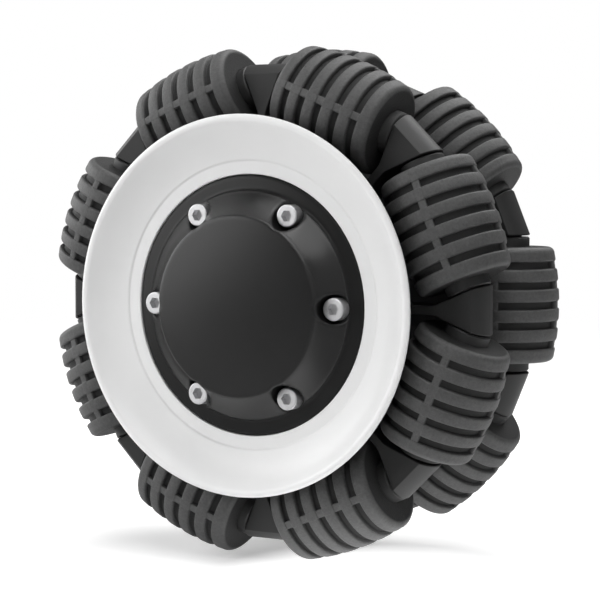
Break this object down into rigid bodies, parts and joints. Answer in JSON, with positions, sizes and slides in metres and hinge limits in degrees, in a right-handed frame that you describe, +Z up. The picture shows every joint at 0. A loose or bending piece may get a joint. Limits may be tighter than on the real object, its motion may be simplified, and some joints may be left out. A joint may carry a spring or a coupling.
{
  "type": "omnidirectional wheel",
  "caption": "Double-row omnidirectional wheel: grooved rubber barrel rollers carried between wedge arms round a hub, with a pale dished ring and a screwed cap.",
  "frame": {"origin": "centre of the wheel, on its axis and midway between the two roller rows", "axes": "Y is the wheel axis and -Y is the capped outer face, +Y is the drive side, +Z is up and +X is across the wheel"},
  "size_m": [0.2, 0.0966, 0.2],
  "materials": {
    "roller_rubber": "matte, fine moulded grain",
    "core_plastic": "satin moulded",
    "bush_plastic": "black self-lubricating plastic",
    "spider_plastic": "glass-filled, satin",
    "ring_plastic": "satin, pale grey",
    "rear_cover_plastic": "satin",
    "cap_plastic": "satin disc, smoother slope",
    "hub_metal": "turned",
    "screw_steel": "bright zinc plated",
    "pin_steel": "ground",
    "insert_brass": "turned"
  },
  "bodies": {
    "root": {"front_spider": "spider_plastic", "rear_spider": "spider_plastic", "centre_carrier": "spider_plastic", "front_ring_cover": "ring_plastic", "rear_ring_cover": "rear_cover_plastic", "hub_cap": "cap_plastic", "drive_hub": "hub_metal", "cap_screws": "screw_steel", "cap_thread_inserts": "insert_brass", "clamp_bolts": "screw_steel", "front_axle_pins": "pin_steel", "rear_axle_pins": "pin_steel"},
    "roller_front_1": {"tread_front_1": "roller_rubber", "core_front_1": "core_plastic", "bushes_front_1": "bush_plastic"},
    "roller_front_2": {"tread_front_2": "roller_rubber", "core_front_2": "core_plastic", "bushes_front_2": "bush_plastic"},
    "roller_front_3": {"tread_front_3": "roller_rubber", "core_front_3": "core_plastic", "bushes_front_3": "bush_plastic"},
    "roller_front_4": {"tread_front_4": "roller_rubber", "core_front_4": "core_plastic", "bushes_front_4": "bush_plastic"},
    "roller_front_5": {"tread_front_5": "roller_rubber", "core_front_5": "core_plastic", "bushes_front_5": "bush_plastic"},
    "roller_front_6": {"tread_front_6": "roller_rubber", "core_front_6": "core_plastic", "bushes_front_6": "bush_plastic"},
    "roller_front_7": {"tread_front_7": "roller_rubber", "core_front_7": "core_plastic", "bushes_front_7": "bush_plastic"},
    "roller_front_8": {"tread_front_8": "roller_rubber", "core_front_8": "core_plastic", "bushes_front_8": "bush_plastic"},
    "roller_rear_1": {"tread_rear_1": "roller_rubber", "core_rear_1": "core_plastic", "bushes_rear_1": "bush_plastic"},
    "roller_rear_2": {"tread_rear_2": "roller_rubber", "core_rear_2": "core_plastic", "bushes_rear_2": "bush_plastic"},
    "roller_rear_3": {"tread_rear_3": "roller_rubber", "core_rear_3": "core_plastic", "bushes_rear_3": "bush_plastic"},
    "roller_rear_4": {"tread_rear_4": "roller_rubber", "core_rear_4": "core_plastic", "bushes_rear_4": "bush_plastic"},
    "roller_rear_5": {"tread_rear_5": "roller_rubber", "core_rear_5": "core_plastic", "bushes_rear_5": "bush_plastic"},
    "roller_rear_6": {"tread_rear_6": "roller_rubber", "core_rear_6": "core_plastic", "bushes_rear_6": "bush_plastic"},
    "roller_rear_7": {"tread_rear_7": "roller_rubber", "core_rear_7": "core_plastic", "bushes_rear_7": "bush_plastic"},
    "roller_rear_8": {"tread_rear_8": "roller_rubber", "core_rear_8": "core_plastic", "bushes_rear_8": "bush_plastic"}
  },
  "joints": [
    {"name": "roller_front_1_spin", "type": "hinge", "parent": "root", "child": "roller_front_1", "pos_m": [0.07391, -0.021, 0.03061], "axis": [-0.3827, 0, 0.9239], "continuous": true},
    {"name": "roller_front_2_spin", "type": "hinge", "parent": "root", "child": "roller_front_2", "pos_m": [0.03061, -0.021, 0.07391], "axis": [-0.9239, 0, 0.3827], "continuous": true},
    {"name": "roller_front_3_spin", "type": "hinge", "parent": "root", "child": "roller_front_3", "pos_m": [-0.03061, -0.021, 0.07391], "axis": [-0.9239, 0, -0.3827], "continuous": true},
    {"name": "roller_front_4_spin", "type": "hinge", "parent": "root", "child": "roller_front_4", "pos_m": [-0.07391, -0.021, 0.03061], "axis": [-0.3827, 0, -0.9239], "continuous": true},
    {"name": "roller_front_5_spin", "type": "hinge", "parent": "root", "child": "roller_front_5", "pos_m": [-0.07391, -0.021, -0.03061], "axis": [0.3827, 0, -0.9239], "continuous": true},
    {"name": "roller_front_6_spin", "type": "hinge", "parent": "root", "child": "roller_front_6", "pos_m": [-0.03061, -0.021, -0.07391], "axis": [0.9239, 0, -0.3827], "continuous": true},
    {"name": "roller_front_7_spin", "type": "hinge", "parent": "root", "child": "roller_front_7", "pos_m": [0.03061, -0.021, -0.07391], "axis": [0.9239, 0, 0.3827], "continuous": true},
    {"name": "roller_front_8_spin", "type": "hinge", "parent": "root", "child": "roller_front_8", "pos_m": [0.07391, -0.021, -0.03061], "axis": [0.3827, 0, 0.9239], "continuous": true},
    {"name": "roller_rear_1_spin", "type": "hinge", "parent": "root", "child": "roller_rear_1", "pos_m": [0.08, 0.021, 0], "axis": [0, 0, 1], "continuous": true},
    {"name": "roller_rear_2_spin", "type": "hinge", "parent": "root", "child": "roller_rear_2", "pos_m": [0.05657, 0.021, 0.05657], "axis": [-0.7071, 0, 0.7071], "continuous": true},
    {"name": "roller_rear_3_spin", "type": "hinge", "parent": "root", "child": "roller_rear_3", "pos_m": [0, 0.021, 0.08], "axis": [-1, 0, 0], "continuous": true},
    {"name": "roller_rear_4_spin", "type": "hinge", "parent": "root", "child": "roller_rear_4", "pos_m": [-0.05657, 0.021, 0.05657], "axis": [-0.7071, 0, -0.7071], "continuous": true},
    {"name": "roller_rear_5_spin", "type": "hinge", "parent": "root", "child": "roller_rear_5", "pos_m": [-0.08, 0.021, 0], "axis": [0, 0, -1], "continuous": true},
    {"name": "roller_rear_6_spin", "type": "hinge", "parent": "root", "child": "roller_rear_6", "pos_m": [-0.05657, 0.021, -0.05657], "axis": [0.7071, 0, -0.7071], "continuous": true},
    {"name": "roller_rear_7_spin", "type": "hinge", "parent": "root", "child": "roller_rear_7", "pos_m": [0, 0.021, -0.08], "axis": [1, 0, 0], "continuous": true},
    {"name": "roller_rear_8_spin", "type": "hinge", "parent": "root", "child": "roller_rear_8", "pos_m": [0.05657, 0.021, -0.05657], "axis": [0.7071, 0, 0.7071], "continuous": true}
  ]
}
